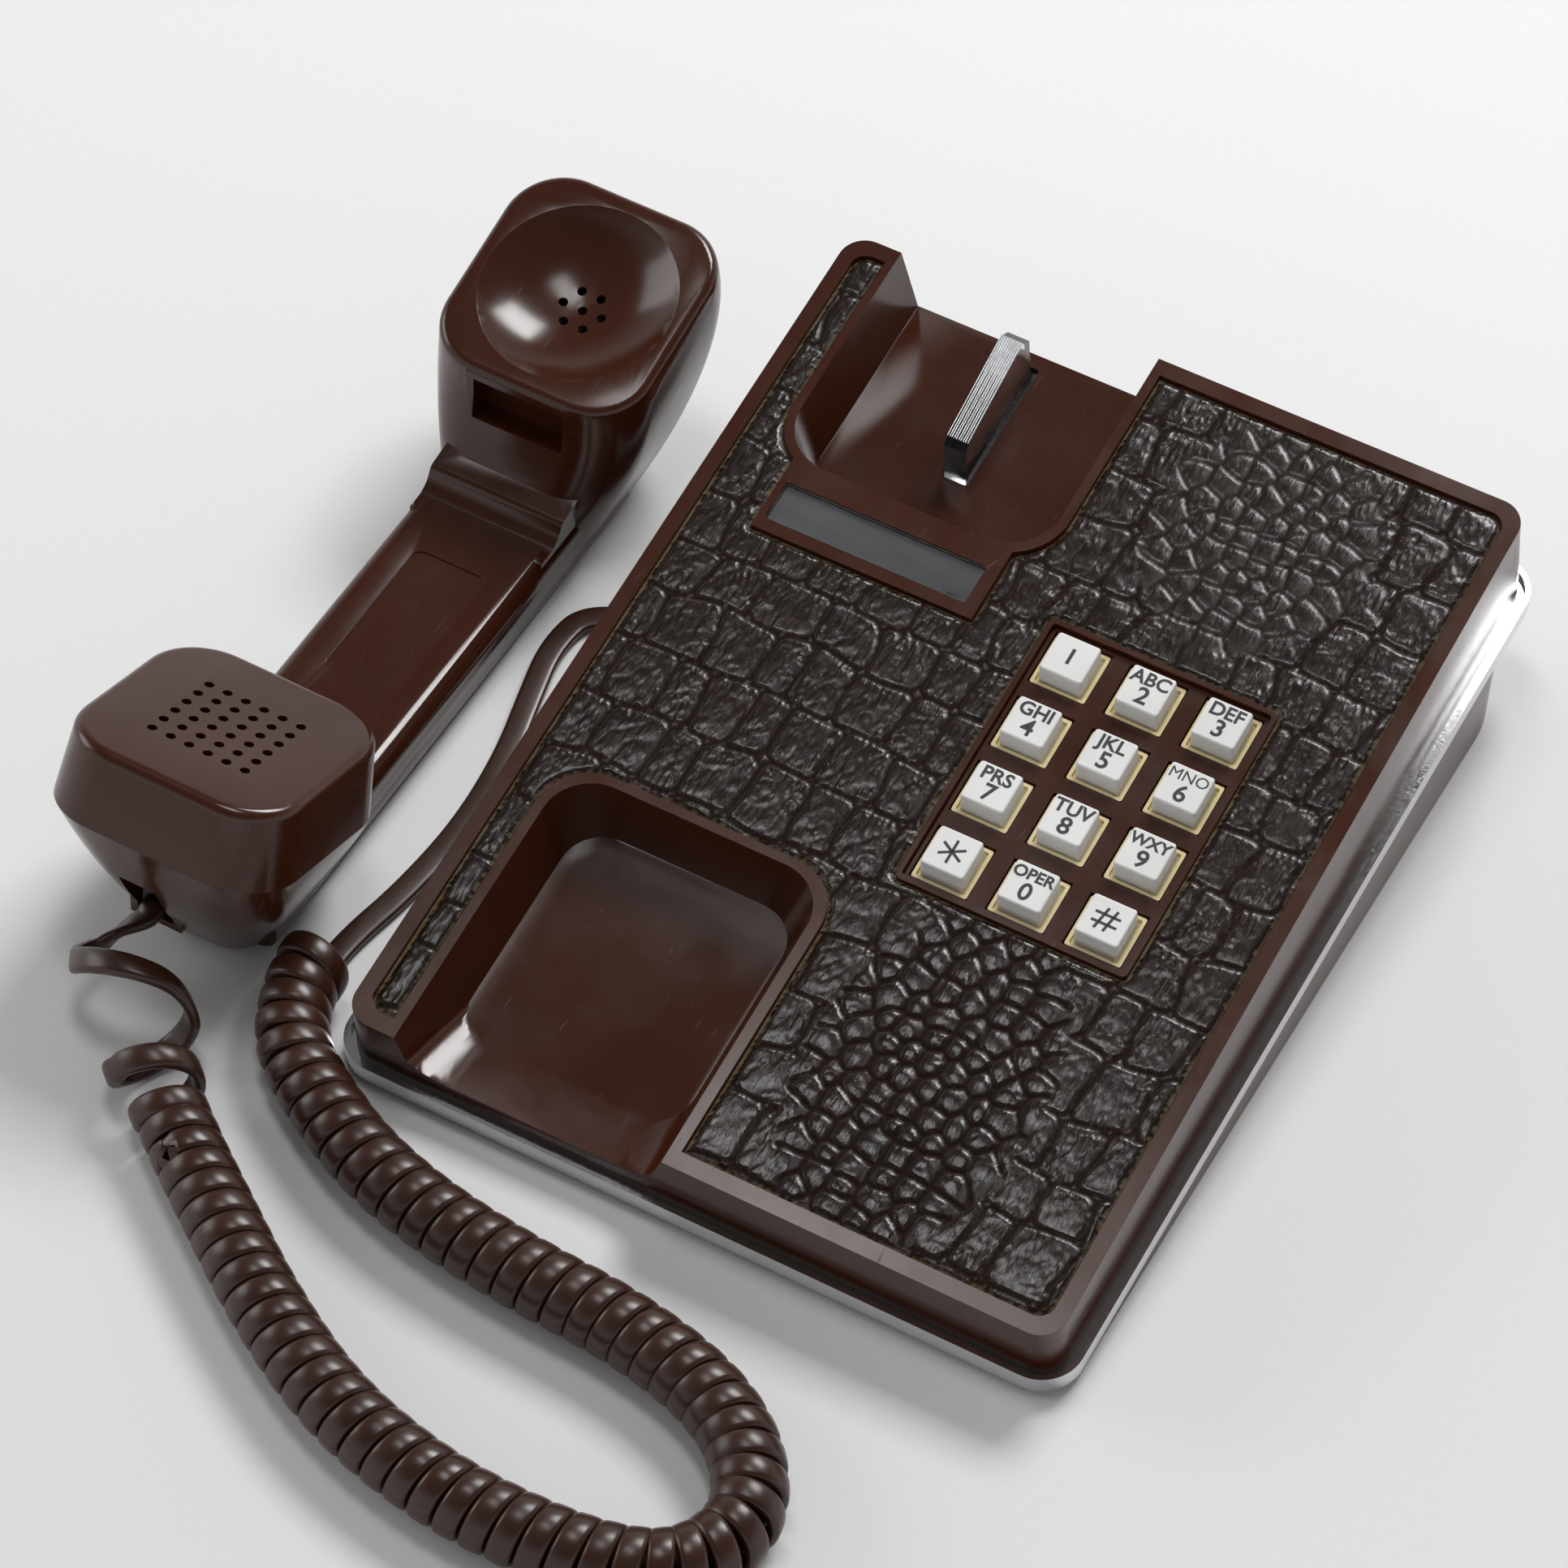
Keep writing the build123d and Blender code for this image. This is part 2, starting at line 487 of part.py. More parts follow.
with BuildPart() as handle_bar:
    with BuildSketch(side_plane(handset, -HANDLE_W / 2)):
        box_sketch(-96, 0, 62, HANDLE_H)
    extrude(amount=HANDLE_W)
    long_edges = handle_bar.edges().filter_by(Axis(handset.origin, handset.y_dir)).sort_by(Axis.Z)
    fillet(long_edges[-2:], 4.5)
    fillet(long_edges[:2], 6)
    # the foot of the ear block steps up from the handle in a rounded ledge
    with BuildSketch(side_plane(handset, -HANDLE_W / 2 + 1)) as ledge:
        with BuildLine():
            Polyline((22, 15), (22, HANDLE_H - 0.2), (29.5, HANDLE_H - 0.2), (31.5, 22.5), (46, 25),
                     (46, 15), (22, 15))
        make_face()
        fillet(ledge.vertices().group_by(Axis.X)[1], 6)
        fillet(ledge.vertices().sort_by(lambda v: v.X + 3 * v.Y)[-2:-1], 2)
    extrude(amount=HANDLE_W - 2)
    block(handset, HANDLE_H - 0.3, HANDLE_H + 1, -9.7, -31, 9.7, 11.5, 3, Mode.SUBTRACT)

with BuildPart() as ear_solid:
    ear_block()
    fillet(ear_solid.faces().sort_by(Axis.Z)[-1].edges(), 2.4)

with BuildPart() as handset_shell:
    mouth_bowl()
    add(handle_bar.part)
    add(ear_solid.part)
    mouth_bowl(SHELL_T, Mode.SUBTRACT)
    ear_block(EAR_SKIN, Mode.SUBTRACT)
    block(handset, 4, 12.5, -10, -70, 10, 60, 0, Mode.SUBTRACT)
    block(handset, SLOT_Z0 - 2, SLOT_Z1 + 2, -SLOT_HALF - 2, 41.5, SLOT_HALF + 2, SLOT_BACK + 2)
    block(handset, SLOT_Z0, SLOT_Z1, -SLOT_HALF, 25, SLOT_HALF, SLOT_BACK, 0, Mode.SUBTRACT)
    block(handset, SOCKET_Z0 - 2, SOCKET_Z1 + 2, CORD_X - SOCKET_HALF - 2, -107.3,
          CORD_X + SOCKET_HALF + 2, SOCKET_BACK + 2)
    block(handset, SOCKET_Z0, SOCKET_Z1, CORD_X - SOCKET_HALF, -125, CORD_X + SOCKET_HALF, SOCKET_BACK,
          0, Mode.SUBTRACT)
    with Locations(ear.offset(DISH_R - DISH_DEPTH).origin):
        Sphere(DISH_R, mode=Mode.SUBTRACT)
    hole_ring(ear, -DISH_DEPTH - 6, 0, 1.15, 5.2)
save(handset_shell.part, "handset_shell")

with BuildPart() as mouthpiece_cap:
    loft_sections([
        centred(mouth, 56.7, -28.2, 28.2, 15),
        centred(mouth.offset(-CAP_H), 60.4, -29.5, 29.0, 15),
    ])
    fillet(mouthpiece_cap.faces().sort_by(Axis(mouth.origin, mouth.z_dir))[-1].edges(), 2.6)
    loft_sections([
        centred(mouth.offset(-SHELL_T), 51.9, -25.8, 25.8, 12.6),
        centred(mouth.offset(-CAP_H - 0.01), 55.6, -27.1, 26.6, 12.6),
    ], Mode.SUBTRACT)
    with BuildSketch(mouth.offset(-4)) as speaking_holes:
        with GridLocations(4.8, 4.8, 6, 6):
            Circle(1.15)
    extrude(speaking_holes.sketch, amount=6, dir=mouth.z_dir, mode=Mode.SUBTRACT)
save(mouthpiece_cap.part, "mouthpiece_cap")

with BuildPart() as transmitter:
    posts(mouth, -12, -SHELL_T, 20.5, [(0, 0)])
    posts(mouth, -14.5, -12, 12, [(0, 0)])
save(transmitter.part, "transmitter")

with BuildPart() as receiver:
    posts(ear, -23, -DISH_DEPTH - EAR_SKIN - 0.1, 19.5, [(0, 0)])
    posts(ear, -26, -23, 12, [(0, 0)])
save(receiver.part, "receiver")

with BuildPart() as handset_socket:
    block(handset, SOCKET_Z0, SOCKET_Z1, CORD_X - SOCKET_HALF, SOCKET_BACK - 3,
          CORD_X + SOCKET_HALF, SOCKET_BACK)
save(handset_socket.part, "handset_socket")

PLUG_Z = 14.0
with BuildPart() as handset_plug:
    block(handset, PLUG_Z - 3.2, PLUG_Z + 3.2, CORD_X - 3.8, -106.5, CORD_X + 3.8, SOCKET_BACK - 3)
save(handset_plug.part, "handset_plug")

with BuildPart() as base_plug:
    block(Plane.XY, JACK_Z - 3.1, JACK_Z + 2.9, -BASE_X - 4.8, JACK_Y - 3.8, left_wall + 8, JACK_Y + 3.8)
save(base_plug.part, "base_plug")


# ---- cord -----------------------------------------------------------------------------------
# One flat curly cord on the desk: a short lead from the handset, the coil, and a lead to the base.
def cord_tube(name, route, diameter):
    """A round tube along `route`: straight runs joined by arcs as large as the runs allow."""
    points = [Vector(*p) for p in route]
    radii = []
    for before, here, after in zip(points, points[1:], points[2:]):
        turn = (here - before).get_angle(after - here)
        shorter = min((here - before).length, (after - here).length)
        radii.append(0.45 * shorter / tan(radians(turn / 2)))
    print(name, "radii", [round(r) for r in radii])
    with BuildPart() as tube:
        with BuildLine() as path:
            FilletPolyline(*points, radius=radii)
        with BuildSketch(Plane(origin=points[0], z_dir=points[1] - points[0])):
            Circle(diameter / 2)
        sweep()
    length = sum(edge.length for edge in path.line.edges())
    ratio = tube.part.volume / (length * pi * diameter ** 2 / 4)
    print(name, "length", round(length), "volume ratio", round(ratio, 4))
    save(tube.part, name)


plug_end = handset.from_local_coords((CORD_X, -106.5, PLUG_Z))
COIL_Z = COIL_D / 2
HANDSET_LEAD = [
    (plug_end.X, plug_end.Y, plug_end.Z), (-142.6, -118, 10), (-135, -131, COIL_Z), (-125.2, -138.9, COIL_Z),
]
COIL_ROUTE = [
    (-124.5, -139.5), (-107, -154.5), (-88, -168.5), (-66, -184.5), (-41, -198.5), (-14, -205.5), (9, -206.5),
    (30, -204), (43.5, -197.5), (50, -182), (42.5, -166.5), (27, -156), (3, -150.5), (-22, -149.5),
    (-47, -146.5), (-68, -140.5), (-84, -132), (-98, -122.5), (-104.5, -109), (-105.5, -97),
]
BASE_LEAD = [
    (-105.5, -97, COIL_Z), (-105, -85, 6.5), (-101.5, -68, 3.6), (-99.5, -45, 3.2), (-101.5, -22, 3.2),
    (-106, -3, 3.2), (-109.5, 13, 4.5), (-107, 27, 7.5), (-BASE_X - 4.8, 30, JACK_Z),
]
cord_tube("cord_handset_lead", HANDSET_LEAD, CORD_W)
cord_tube("cord_coil", [(x, y, COIL_Z) for x, y in COIL_ROUTE], COIL_D)
cord_tube("cord_base_lead", BASE_LEAD, CORD_W)
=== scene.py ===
import json
import math

import bmesh
import bpy
import numpy as np
from mathutils import Matrix, Quaternion, Vector

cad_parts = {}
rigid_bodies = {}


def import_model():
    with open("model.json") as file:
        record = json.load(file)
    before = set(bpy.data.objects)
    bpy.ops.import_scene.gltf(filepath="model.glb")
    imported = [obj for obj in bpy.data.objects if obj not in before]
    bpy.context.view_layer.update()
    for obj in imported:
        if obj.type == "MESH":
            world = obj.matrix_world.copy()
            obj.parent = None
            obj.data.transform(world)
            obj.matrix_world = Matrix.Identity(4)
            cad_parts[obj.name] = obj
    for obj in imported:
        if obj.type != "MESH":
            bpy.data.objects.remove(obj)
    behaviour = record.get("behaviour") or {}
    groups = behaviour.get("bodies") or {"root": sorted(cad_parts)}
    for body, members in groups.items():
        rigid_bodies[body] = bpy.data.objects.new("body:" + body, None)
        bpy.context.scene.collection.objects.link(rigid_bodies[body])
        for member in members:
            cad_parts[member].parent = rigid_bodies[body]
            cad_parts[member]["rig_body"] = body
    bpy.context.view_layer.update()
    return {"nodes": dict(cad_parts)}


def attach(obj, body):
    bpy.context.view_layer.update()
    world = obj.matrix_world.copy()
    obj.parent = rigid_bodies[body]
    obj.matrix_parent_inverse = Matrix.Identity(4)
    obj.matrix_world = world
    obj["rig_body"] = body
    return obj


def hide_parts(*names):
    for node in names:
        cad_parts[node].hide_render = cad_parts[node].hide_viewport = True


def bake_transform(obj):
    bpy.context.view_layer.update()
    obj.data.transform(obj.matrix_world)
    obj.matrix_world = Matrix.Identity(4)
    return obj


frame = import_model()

nodes = frame["nodes"]
MM = 0.001

# ---- the housing's own frame: x from the left rim, y from the front rim, z off the top face ----
WIDTH, LENGTH = 175.5, 237.5
TILT = math.atan(0.165)
FRONT_RISE, FRONT_Y = 21.5, -117.2
panel_x = Vector((1, 0, 0))
panel_y = Vector((0, math.cos(TILT), math.sin(TILT)))
panel_z = Vector((0, -math.sin(TILT), math.cos(TILT)))
panel_origin = Vector((-WIDTH / 2, FRONT_Y, FRONT_RISE * math.cos(TILT)))


def on_panel(x, y, z=0.0):
    """A point of the housing's frame, given in millimetres, in the row frame in metres."""
    return (panel_origin + panel_x * x + panel_y * y + panel_z * z) * MM


PANEL = Matrix((
    (panel_x.x, panel_y.x, panel_z.x, panel_origin.x * MM),
    (panel_x.y, panel_y.y, panel_z.y, panel_origin.y * MM),
    (panel_x.z, panel_y.z, panel_z.z, panel_origin.z * MM),
    (0, 0, 0, 1),
))


# ---- materials ---------------------------------------------------------------------------------
class Paint:
    """A node material under construction, with its shader and short calls for common nodes."""

    def __init__(self, name, color, roughness, metallic=0.0, ior=1.5, transmission=0.0):
        self.mat = bpy.data.materials.new(name)
        self.mat.use_nodes = True
        self.tree = self.mat.node_tree
        self.bsdf = self.tree.nodes["Principled BSDF"]
        self.bsdf.inputs["Base Color"].default_value = (*color, 1)
        self.bsdf.inputs["Roughness"].default_value = roughness
        self.bsdf.inputs["Metallic"].default_value = metallic
        self.bsdf.inputs["IOR"].default_value = ior
        self.bsdf.inputs["Transmission Weight"].default_value = transmission
        self.where = self.node("ShaderNodeTexCoord").outputs["Object"]

    def node(self, kind, **values):
        made = self.tree.nodes.new(kind)
        for key, value in values.items():
            if key in made.inputs:
                made.inputs[key].default_value = value
            else:
                setattr(made, key, value)
        return made

    def link(self, a, b):
        self.tree.links.new(a, b)

    def noise(self, scale, detail=4.0, rough=0.55, stretch=None, distort=0.0):
        made = self.node("ShaderNodeTexNoise")
        made.inputs["Scale"].default_value = scale
        made.inputs["Detail"].default_value = detail
        made.inputs["Roughness"].default_value = rough
        made.inputs["Distortion"].default_value = distort
        source = self.where
        if stretch:
            mapping = self.node("ShaderNodeMapping")
            mapping.inputs["Scale"].default_value = stretch
            self.link(self.where, mapping.inputs["Vector"])
            source = mapping.outputs["Vector"]
        self.link(source, made.inputs["Vector"])
        return made.outputs["Fac"]

    def ramp(self, source, low, high, at=(0.3, 0.7)):
        """A grey or coloured ramp from `low` to `high` over the two positions."""
        made = self.node("ShaderNodeValToRGB")
        made.color_ramp.elements[0].position = at[0]
        made.color_ramp.elements[1].position = at[1]
        for element, value in zip(made.color_ramp.elements, (low, high)):
            element.color = (*value, 1) if isinstance(value, tuple) else (value, value, value, 1)
        self.link(source, made.inputs["Fac"])
        return made.outputs["Color"]

    def mix(self, factor, a, b):
        made = self.node("ShaderNodeMix", data_type="RGBA")
        self.link(factor, made.inputs[0])
        for socket, value in ((made.inputs[6], a), (made.inputs[7], b)):
            if isinstance(value, tuple):
                socket.default_value = (*value, 1)
            else:
                self.link(value, socket)
        return made.outputs[2]

    def bump(self, source, strength, distance):
        made = self.node("ShaderNodeBump")
        made.inputs["Strength"].default_value = strength
        made.inputs["Distance"].default_value = distance
        self.link(source, made.inputs["Height"])
        return made.outputs["Normal"]

    def color_from(self, socket):
        self.link(socket, self.bsdf.inputs["Base Color"])

    def rough_from(self, socket):
        self.link(socket, self.bsdf.inputs["Roughness"])

    def normal_from(self, socket):
        self.link(socket, self.bsdf.inputs["Normal"])


def moulded(name, dark, light, rough_low, rough_high, grain=0.12):
    """Moulded plastic: a slightly cloudy colour, hair scratches in the gloss, and a faint ripple."""
    paint = Paint(name, dark, rough_low)
    paint.color_from(paint.mix(paint.ramp(paint.noise(25, 3), 0.0, 1.0, (0.35, 0.7)), dark, light))
    haze = paint.ramp(paint.noise(55, 5, 0.6), rough_low, rough_high, (0.3, 0.75))
    hairs = paint.ramp(paint.noise(1500, 2, 0.5, (1.0, 0.05, 0.3), 0.4), 0.0, 1.0, (0.7, 0.76))
    paint.rough_from(paint.mix(hairs, haze, (rough_high + 0.08,) * 3))
    paint.normal_from(paint.bump(paint.noise(700, 3), grain, 0.00002))
    return paint.mat


def plated(name, color, rough_low, rough_high, stretch):
    """Bright metal with faint directional polishing marks."""
    paint = Paint(name, color, rough_low, metallic=1.0)
    marks = paint.noise(900, 4, 0.6, stretch)
    paint.rough_from(paint.ramp(marks, rough_low, rough_high))
    paint.color_from(paint.mix(paint.noise(70, 3), tuple(c * 0.86 for c in color), color))
    paint.normal_from(paint.bump(marks, 0.06, 0.00003))
    return paint.mat


def ribbed_chrome():
    """The hook lever's plate, with fine ribs along its length."""
    paint = Paint("ribbed_chrome", (0.66, 0.67, 0.69), 0.1, metallic=1.0)
    ribs = paint.node("ShaderNodeTexWave", wave_type="BANDS", bands_direction="X")
    ribs.inputs["Scale"].default_value = 270
    paint.link(paint.where, ribs.inputs["Vector"])
    paint.normal_from(paint.bump(ribs.outputs["Fac"], 0.9, 0.0006))
    paint.rough_from(paint.ramp(paint.noise(500, 4), 0.06, 0.2))
    return paint.mat


def clear_plastic():
    paint = Paint("clear_plastic", (0.97, 0.98, 0.98), 0.04, ior=1.49, transmission=1.0)
    paint.rough_from(paint.ramp(paint.noise(300, 5), 0.02, 0.1))
    return paint.mat


def leather():
    """Polished embossed hide: the emboss is in the mesh; pores, creases and polish are here."""
    paint = Paint("crocodile_leather", (0.02, 0.01, 0.007), 0.25)
    height = paint.node("ShaderNodeAttribute", attribute_name="emboss")
    edge = paint.node("ShaderNodeAttribute", attribute_name="cut_edge")
    hide = paint.mix(paint.ramp(paint.noise(90, 5), 0.0, 1.0, (0.3, 0.7)), (0.0075, 0.0030, 0.0018),
                     (0.015, 0.0060, 0.0034))
    hide = paint.mix(paint.ramp(height.outputs["Fac"], 0.0, 1.0, (0.1, 0.7)), (0.014, 0.0055, 0.0030), hide)
    fibre = paint.mix(paint.noise(2600, 4), (0.03, 0.02, 0.010), (0.20, 0.155, 0.08))
    paint.color_from(paint.mix(edge.outputs["Fac"], hide, fibre))
    shine = paint.ramp(height.outputs["Fac"], 0.06, 0.5, (0.3, 0.75))
    paint.link(shine, paint.bsdf.inputs["Specular IOR Level"])
    polish = paint.ramp(height.outputs["Fac"], 0.55, 0.15, (0.35, 0.8))
    patches = paint.ramp(paint.noise(260, 6, 0.65), 0.0, 1.0, (0.35, 0.75))
    polish = paint.mix(patches, polish, (0.26, 0.26, 0.26))
    paint.rough_from(paint.mix(edge.outputs["Fac"], polish, (0.9, 0.9, 0.9)))
    pores = paint.noise(2400, 5, 0.65)
    creases = paint.noise(900, 4, 0.6, (1.0, 0.16, 1.0), 0.8)
    first = paint.node("ShaderNodeBump")
    first.inputs["Strength"].default_value = 0.5
    first.inputs["Distance"].default_value = 0.00025
    paint.link(creases, first.inputs["Height"])
    second = paint.node("ShaderNodeBump")
    second.inputs["Strength"].default_value = 0.25
    second.inputs["Distance"].default_value = 0.00008
    paint.link(pores, second.inputs["Height"])
    paint.link(first.outputs["Normal"], second.inputs["Normal"])
    paint.normal_from(second.outputs["Normal"])
    return paint.mat


BROWN = moulded("brown_plastic", (0.040, 0.0088, 0.0028), (0.048, 0.0112, 0.0038), 0.15, 0.24)
CORD = moulded("cord_jacket", (0.034, 0.0110, 0.0058), (0.044, 0.0150, 0.0080), 0.27, 0.36)
WHITE = moulded("key_white_plastic", (0.74, 0.74, 0.73), (0.84, 0.84, 0.83), 0.22, 0.38)
CREAM = moulded("key_cream_plastic", (0.74, 0.60, 0.30), (0.82, 0.70, 0.42), 0.25, 0.4)
BLACK = moulded("black_plastic", (0.010, 0.010, 0.010), (0.020, 0.019, 0.018), 0.35, 0.6)
RUBBER = moulded("black_rubber", (0.013, 0.013, 0.013), (0.024, 0.023, 0.022), 0.6, 0.85, 0.4)
CARD = moulded("grey_card", (0.21, 0.215, 0.23), (0.30, 0.305, 0.32), 0.5, 0.7, 0.4)
BOARD = moulded("printed_board", (0.01, 0.06, 0.025), (0.02, 0.09, 0.04), 0.3, 0.5)
TAPE = moulded("winding_tape", (0.16, 0.06, 0.02), (0.25, 0.10, 0.03), 0.45, 0.65, 0.5)
INK = moulded("legend_ink", (0.006, 0.006, 0.008), (0.012, 0.012, 0.015), 0.3, 0.5)
CHROME = plated("bright_chrome", (0.82, 0.82, 0.84), 0.04, 0.14, (1, 1, 30))
STEEL = plated("plated_steel", (0.56, 0.56, 0.55), 0.25, 0.42, (1, 20, 1))
BRASS = plated("bell_brass", (0.72, 0.52, 0.22), 0.18, 0.34, (1, 1, 1))
RIBBED = ribbed_chrome()
CLEAR = clear_plastic()
LEATHER = leather()


def paint_object(obj, material):
    obj.data.materials.clear()
    obj.data.materials.append(material)


FINISH = {
    "housing_cover": BROWN, "keypad_faceplate": BROWN, "wedge_base": BROWN, "handset_shell": BROWN,
    "mouthpiece_cap": BROWN, "leather_panel": LEATHER, "number_card": CARD, "card_window": CLEAR,
    "chrome_tray": CHROME, "chassis_plate": STEEL, "base_feet": RUBBER, "screws": STEEL,
    "handset_cord_jack": BLACK, "line_jack": BLACK, "keypad_frame": BLACK, "keypad_mat": RUBBER,
    "keypad_board": BOARD, "hook_bracket": STEEL, "hook_pin": STEEL, "hook_contacts": BRASS,
    "network_block": BLACK, "ringer_frame": STEEL, "gong_high": BRASS, "gong_low": BRASS,
    "ringer_coil": TAPE, "base_plug": CLEAR, "hook_lever": CLEAR, "hook_lever_plate": RIBBED,
    "clapper": STEEL, "transmitter": BLACK, "receiver": BLACK, "handset_socket": BLACK,
    "handset_plug": CLEAR,
}
for name, obj in nodes.items():
    if name.startswith("key_body"):
        paint_object(obj, CREAM)
    elif name.startswith("key_cap"):
        paint_object(obj, WHITE)
    else:
        paint_object(obj, FINISH.get(name, CORD))


# ---- mesh helpers ------------------------------------------------------------------------------
def new_object(name, verts, faces, material):
    mesh = bpy.data.meshes.new(name)
    mesh.from_pydata([tuple(v) for v in verts], [], faces)
    mesh.validate()
    mesh.update()
    obj = bpy.data.objects.new(name, mesh)
    bpy.context.scene.collection.objects.link(obj)
    paint_object(obj, material)
    return obj


def apply_modifiers(obj):
    depsgraph = bpy.context.evaluated_depsgraph_get()
    mesh = bpy.data.meshes.new_from_object(obj.evaluated_get(depsgraph), depsgraph=depsgraph)
    obj.modifiers.clear()
    obj.data = mesh
    return obj


def soften(node, width, angle=32, segments=3):
    """A copy of a CAD node with its hard edges rounded, which stands for that node."""
    source = nodes[node]
    obj = bpy.data.objects.new(node + "_rounded", source.data.copy())
    bpy.context.scene.collection.objects.link(obj)
    work = bmesh.new()
    work.from_mesh(obj.data)
    bmesh.ops.remove_doubles(work, verts=work.verts, dist=1e-6)
    bmesh.ops.dissolve_limit(work, angle_limit=math.radians(0.5), verts=work.verts, edges=work.edges)
    work.to_mesh(obj.data)
    work.free()
    obj.data.polygons.foreach_set("use_smooth", [True] * len(obj.data.polygons))
    obj.data.set_sharp_from_angle(angle=math.radians(angle))
    bevel = obj.modifiers.new("bevel", "BEVEL")
    bevel.harden_normals = True
    bevel.width = width * MM
    bevel.segments = segments
    bevel.limit_method = "ANGLE"
    bevel.angle_limit = math.radians(angle)
    bevel.use_clamp_overlap = True
    apply_modifiers(obj)
    paint_object(obj, source.data.materials[0])
    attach(obj, source["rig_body"])
    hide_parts(node)
    return obj


soften("housing_cover", 0.9)
soften("handset_shell", 0.7)
soften("mouthpiece_cap", 0.5)
soften("wedge_base", 0.6)

# ---- leather -----------------------------------------------------------------------------------
def rounded_inside(x, y, x0, y0, x1, y1, radius):
    """Signed distance to a rounded rectangle, positive inside, for arrays of points."""
    cx, cy = (x0 + x1) / 2, (y0 + y1) / 2
    dx = np.abs(x - cx) - ((x1 - x0) / 2 - radius)
    dy = np.abs(y - cy) - ((y1 - y0) / 2 - radius)
    outside = np.hypot(np.maximum(dx, 0), np.maximum(dy, 0)) + np.minimum(np.maximum(dx, dy), 0)
    return radius - outside


def inlay_depth(x, y):
    """Distance from each point to the nearest cut edge of the inlay, positive on the leather."""
    depth = rounded_inside(x, y, 3.85, 4.45, WIDTH - 3.85, LENGTH - 4.25, 4)
    for x0, y0, x1, y1, radius in (
        (10.75, -30, 83.25, 80.25, 13),
        (10.75, 172.25, 83.25, 300, 15),
        (18.15, 153.65, 75.45, 178, 0.3),
        (91.15, 86.0, 148.85, 162.8, 1.5),
    ):
        depth = np.minimum(depth, -rounded_inside(x, y, x0, y0, x1, y1, radius))
    return depth


def small_seeds(rng):
    """Centres and half sizes of the fields of small oval scales."""
    seeds = []
    for cx, cy, rx, ry in SMALL_FIELDS:
        for j in range(int(ry * 2 / 5.9) + 2):
            y = cy - ry + j * 5.9 + rng.uniform(-0.5, 0.5)
            reach = rx * math.sqrt(max(0.0, 1 - ((y - cy) / (ry * 1.05)) ** 2))
            x = cx - reach + (j % 2) * 2.7
            while x < cx + reach:
                far = math.hypot((x - cx) / rx, (y - cy) / ry)
                size = 2.35 + 1.2 * far * far + rng.uniform(-0.3, 0.5)
                seeds.append((x + rng.uniform(-0.9, 0.9), y + rng.uniform(-0.7, 0.7),
                              size * rng.uniform(0.85, 1.05), size * rng.uniform(1.0, 1.3)))
                x += size * 2.2
    return seeds


SMALL_FIELDS = ((124, 203, 25, 31), (121, 44, 26, 43))


def wave(x, y, rng, count, low, high, turn=None):
    """A sum of seeded sine waves: cheap smooth noise over the panel."""
    total = np.zeros_like(x)
    for _ in range(count):
        k = rng.uniform(low, high)
        a = rng.uniform(0, math.tau) if turn is None else turn + rng.normal(0, 0.16)
        total += np.sin(k * (x * math.cos(a) + y * math.sin(a)) + rng.uniform(0, math.tau))
    return total / math.sqrt(count)


def brick_gap(x, y, rng):
    """Distance to the nearest crease of the big scales, which lie in rows across the panel."""
    rows = np.cumsum(rng.uniform(12.5, 17.5, 22)) - 20
    row = np.clip(np.searchsorted(rows, y), 1, len(rows) - 1)
    gap_y = np.minimum(y - rows[row - 1], rows[row] - y)
    gap_x = np.full_like(x, 99.0)
    for r in range(1, len(rows)):
        here = row == r
        if here.any():
            cuts = np.cumsum(rng.uniform(8.5, 15.0, 26)) - 24
            k = np.clip(np.searchsorted(cuts, x[here]), 1, len(cuts) - 1)
            gap_x[here] = np.minimum(x[here] - cuts[k - 1], cuts[k] - x[here])
    # the corners of each scale are rounded
    reach = 2.6
    corner = reach - np.hypot(np.maximum(reach - gap_x, 0), np.maximum(reach - gap_y, 0))
    return np.where((gap_x < reach) & (gap_y < reach), corner, np.minimum(gap_x, gap_y))


def oval_gap(x, y, gx, gy, rng):
    """Distance to the nearest crease, and to the middle, of the small oval scales."""
    near = np.full(x.size, 9.0, np.float32)
    second = near.copy()
    size = np.full(x.size, 3.0, np.float32)
    fx, fy = x.ravel(), y.ravel()
    for sx, sy, hx, hy in small_seeds(rng):
        rows = np.nonzero(np.abs(gy - sy) < hy * 3.2 + 3)[0]
        if not len(rows):
            continue
        a, b = rows[0] * len(gx), (rows[-1] + 1) * len(gx)
        d = np.hypot((fx[a:b] - sx) / hx, (fy[a:b] - sy) / hy)
        closer = d < near[a:b]
        second[a:b] = np.where(closer, near[a:b], np.minimum(second[a:b], d))
        size[a:b] = np.where(closer, (hx + hy) / 2, size[a:b])
        near[a:b] = np.where(closer, d, near[a:b])
    return ((second - near) * size / 2).reshape(x.shape), near.reshape(x.shape)


